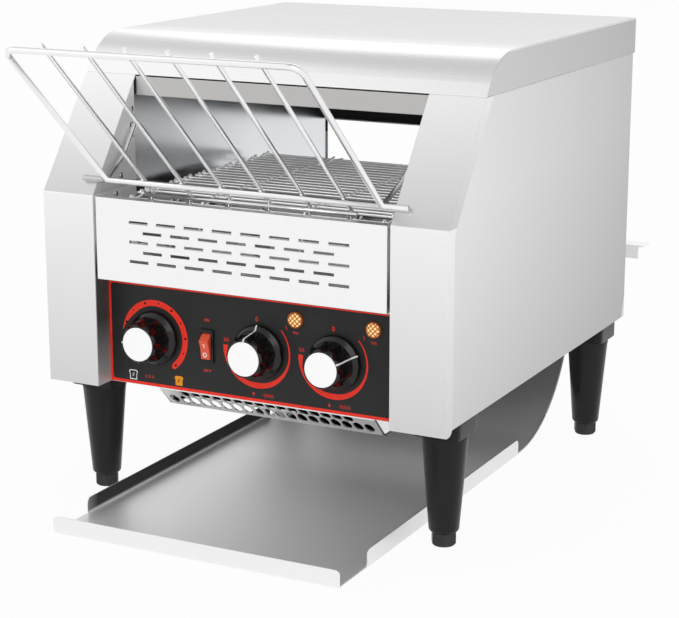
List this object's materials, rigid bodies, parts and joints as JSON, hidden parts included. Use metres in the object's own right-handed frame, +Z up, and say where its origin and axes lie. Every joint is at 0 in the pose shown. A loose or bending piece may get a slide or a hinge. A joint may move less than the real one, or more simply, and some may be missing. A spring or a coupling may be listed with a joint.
{
  "type": "conveyor toaster",
  "caption": "Countertop conveyor toaster with a sloping wire feed rack, a wire belt tunnel, a recessed control face, a curved output tray and tapered legs.",
  "frame": {"origin": "on the table under the middle of the overall box, feed rack and rear spacer included", "axes": "+X to the right seen from the front, +Y to the rear, +Z up"},
  "size_m": [0.365, 0.6184, 0.4041],
  "materials": {
    "casing_steel": "satin",
    "polished_steel": "polished",
    "tray_steel": "satin",
    "bright_wire": "polished",
    "fastener_steel": "polished",
    "shaft_steel": "machined",
    "heater_sheath": "oxidised",
    "ceramic": "matte",
    "bush_brass": "machined",
    "motor_grey": "satin",
    "fan_black": "matte",
    "control_charcoal": "satin",
    "regulator_grey": "matte",
    "knob_black": "gloss",
    "cap_silver": "satin",
    "rocker_red": "gloss",
    "lamp_amber": "gloss",
    "leg_black": "satin",
    "gland_black": "matte"
  },
  "bodies": {
    "casing": {"top_cover": "casing_steel", "side_panel_left": "casing_steel", "side_panel_right": "casing_steel", "front_column_left": "casing_steel", "front_column_right": "casing_steel", "vent_panel": "casing_steel", "control_plate": "casing_steel", "control_face": "control_charcoal", "header_strip": "casing_steel", "rear_panel": "casing_steel", "inner_wall_left": "polished_steel", "inner_wall_right": "polished_steel", "deck_plate": "casing_steel", "base_plate": "casing_steel", "air_intake": "casing_steel", "upper_reflector": "polished_steel", "lower_reflector": "polished_steel", "upper_heaters": "heater_sheath", "lower_heaters": "heater_sheath", "heater_insulators": "ceramic", "belt_guides": "casing_steel", "wire_belt": "bright_wire", "shaft_bushes": "bush_brass", "gear_motor": "motor_grey", "motor_bracket": "casing_steel", "drive_chain": "shaft_steel", "fan_frame": "fan_black", "rotary_controls": "regulator_grey", "switch_housing": "knob_black", "indicator_lights": "lamp_amber", "legs": "leg_black", "rear_spacer": "casing_steel", "casing_screws": "fastener_steel", "cord_gland": "gland_black", "terminal_block": "ceramic"},
    "tray": {"output_tray": "tray_steel"},
    "crumb_drawer": {"crumb_tray": "tray_steel"},
    "rack": {"feed_rack": "bright_wire"},
    "speed_control": {"speed_knob": "knob_black", "speed_cap": "cap_silver", "speed_shaft": "shaft_steel"},
    "upper_heat_control": {"upper_heat_knob": "knob_black", "upper_heat_cap": "cap_silver", "upper_heat_shaft": "shaft_steel"},
    "lower_heat_control": {"lower_heat_knob": "knob_black", "lower_heat_cap": "cap_silver", "lower_heat_shaft": "shaft_steel"},
    "rocker": {"switch_rocker": "rocker_red"},
    "front_drum": {"front_shaft": "shaft_steel", "front_sprockets": "shaft_steel"},
    "rear_drum": {"rear_shaft": "shaft_steel", "rear_sprockets": "shaft_steel", "driven_sprocket": "shaft_steel"},
    "motor_output": {"motor_shaft": "shaft_steel", "motor_sprocket": "shaft_steel"},
    "fan": {"fan_rotor": "fan_black"},
    "front_left_foot": {"foot_front_left": "leg_black"},
    "front_right_foot": {"foot_front_right": "leg_black"},
    "rear_left_foot": {"foot_rear_left": "leg_black"},
    "rear_right_foot": {"foot_rear_right": "leg_black"}
  },
  "joints": [
    {"name": "tray_slide", "type": "slide", "parent": "casing", "child": "tray", "axis": [0, -1, 0], "range_m": [0, 0.1]},
    {"name": "crumb_drawer_slide", "type": "slide", "parent": "casing", "child": "crumb_drawer", "axis": [0, 1, 0], "range_m": [0, 0.25]},
    {"name": "rack_tilt", "type": "hinge", "parent": "casing", "child": "rack", "pos_m": [0, -0.12376, 0.315], "axis": [-1, 0, 0], "range_deg": [0, 70]},
    {"name": "speed_turn", "type": "hinge", "parent": "casing", "child": "speed_control", "pos_m": [-0.0895, -0.17436, 0.147], "axis": [0, 1, 0], "range_deg": [0, 225]},
    {"name": "upper_heat_turn", "type": "hinge", "parent": "casing", "child": "upper_heat_control", "pos_m": [0.0095, -0.17436, 0.147], "axis": [0, 1, 0], "range_deg": [0, 285]},
    {"name": "lower_heat_turn", "type": "hinge", "parent": "casing", "child": "lower_heat_control", "pos_m": [0.0785, -0.17436, 0.147], "axis": [0, 1, 0], "range_deg": [-68, 217]},
    {"name": "rocker_tip", "type": "hinge", "parent": "casing", "child": "rocker", "pos_m": [-0.0395, -0.16136, 0.1455], "axis": [1, 0, 0], "range_deg": [-20, 0]},
    {"name": "rear_drum_spin", "type": "hinge", "parent": "casing", "child": "rear_drum", "pos_m": [0, 0.07724, 0.24], "axis": [-1, 0, 0], "continuous": true},
    {"name": "front_drum_spin", "type": "hinge", "parent": "casing", "child": "front_drum", "pos_m": [0, -0.14126, 0.24], "axis": [-1, 0, 0], "continuous": true},
    {"name": "motor_spin", "type": "hinge", "parent": "casing", "child": "motor_output", "pos_m": [0.13, 0.07724, 0.144], "axis": [-1, 0, 0], "continuous": true},
    {"name": "fan_spin", "type": "hinge", "parent": "casing", "child": "fan", "pos_m": [0.011, -0.04126, 0.12], "axis": [0, 0, 1], "continuous": true},
    {"name": "front_left_foot_screw", "type": "slide", "parent": "casing", "child": "front_left_foot", "axis": [0, 0, -1], "range_m": [0, 0.01]},
    {"name": "front_right_foot_screw", "type": "slide", "parent": "casing", "child": "front_right_foot", "axis": [0, 0, -1], "range_m": [0, 0.01]},
    {"name": "rear_left_foot_screw", "type": "slide", "parent": "casing", "child": "rear_left_foot", "axis": [0, 0, -1], "range_m": [0, 0.01]},
    {"name": "rear_right_foot_screw", "type": "slide", "parent": "casing", "child": "rear_right_foot", "axis": [0, 0, -1], "range_m": [0, 0.01]}
  ],
  "couplings": [
    {"joint": "front_drum_spin", "follows": "rear_drum_spin", "ratio": 1},
    {"joint": "motor_spin", "follows": "rear_drum_spin", "ratio": 1}
  ]
}
